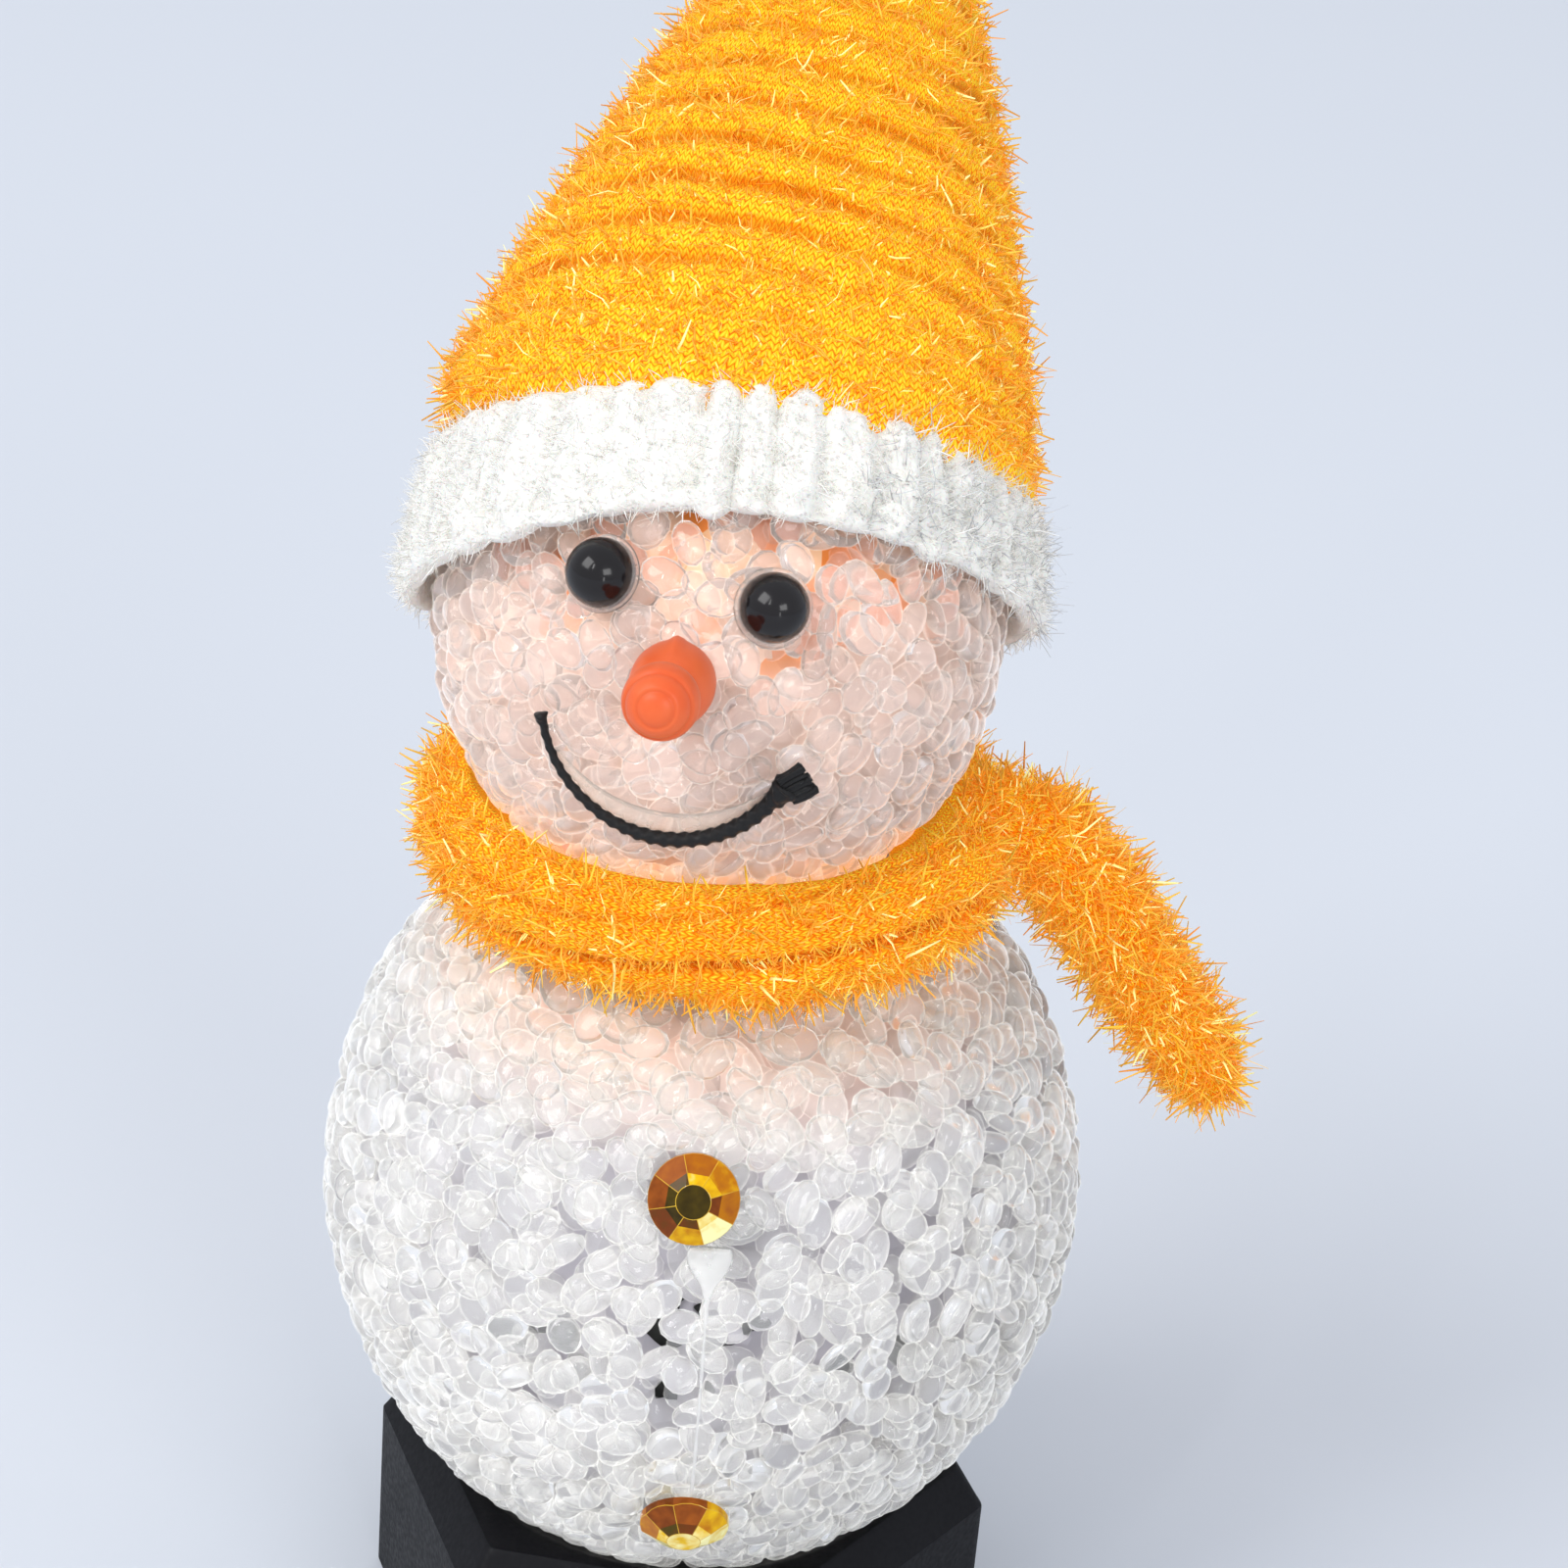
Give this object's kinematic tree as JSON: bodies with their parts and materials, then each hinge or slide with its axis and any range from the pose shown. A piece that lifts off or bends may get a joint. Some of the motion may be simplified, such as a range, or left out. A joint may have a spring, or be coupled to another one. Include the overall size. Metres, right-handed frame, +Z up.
{
  "type": "crystal snowman night light",
  "caption": "Snowman night light: clear granule ball body and head on a black hexagonal battery base, with knitted hat, scarf, bead eyes, carrot nose and gem buttons.",
  "frame": {"origin": "middle of the hexagonal face that the base rests on", "axes": "+Z up through the balls, -Y is where the snowman looks, +X is towards the scarf's free end"},
  "size_m": [0.1074, 0.1067, 0.2229],
  "materials": {
    "black_plastic": "fine matt moulded black",
    "dark_plastic": "matt moulded, slightly lighter black",
    "screw_steel": "zinc-plated, turned",
    "cell_steel": "nickel-plated, polished",
    "contact_metal": "nickel-plated sheet",
    "switch_plastic": "moulded",
    "knob_plastic": "moulded white",
    "board_green": "solder-masked board",
    "chip_black": "epoxy drop",
    "led_clear": "clear cast lens",
    "wire_red": "soft sleeve",
    "wire_black": "soft sleeve",
    "wire_white": "soft sleeve",
    "crystal_body": "fused clear granules",
    "crystal_head": "fused clear granules with a warm tint",
    "eye_black": "polished black",
    "nose_orange": "soft satin vinyl",
    "cord_black": "waxed braided cord",
    "gem_amber": "foil-backed faceted acrylic",
    "knit_orange": "fine rib knit with tinsel yarn",
    "cuff_white": "thick chenille rib with tinsel",
    "scarf_orange": "fine rolled knit with tinsel yarn"
  },
  "bodies": {
    "lamp": {"base_housing": "black_plastic", "base_bottom": "dark_plastic", "housing_screws": "screw_steel", "button_cell_1": "cell_steel", "button_cell_2": "cell_steel", "button_cell_3": "cell_steel", "contact_spring": "contact_metal", "contact_plates": "contact_metal", "switch_body": "switch_plastic", "led_holder": "black_plastic", "circuit_board": "board_green", "driver_chip": "chip_black", "led_lamp": "led_clear", "wire_red": "wire_red", "wire_black": "wire_black", "wire_white": "wire_white", "body_shell_left": "crystal_body", "body_shell_right": "crystal_body", "head_shell_front": "crystal_head", "head_shell_back": "crystal_head", "eye_left": "eye_black", "eye_right": "eye_black", "nose": "nose_orange", "mouth_cord": "cord_black", "gem_upper": "gem_amber", "gem_lower": "gem_amber", "hat": "knit_orange", "hat_cuff": "cuff_white", "scarf_ring": "scarf_orange", "scarf_tail": "scarf_orange"},
    "door": {"battery_door": "dark_plastic"},
    "switch_slider": {"switch_knob": "knob_plastic"}
  },
  "joints": [
    {"name": "battery_door_slide", "type": "slide", "parent": "lamp", "child": "door", "axis": [0.1305, 0.9914, 0], "range_m": [0, 0.0124]},
    {"name": "power_switch_slide", "type": "slide", "parent": "lamp", "child": "switch_slider", "axis": [0.9914, -0.1305, 0], "range_m": [0, 0.003]}
  ]
}
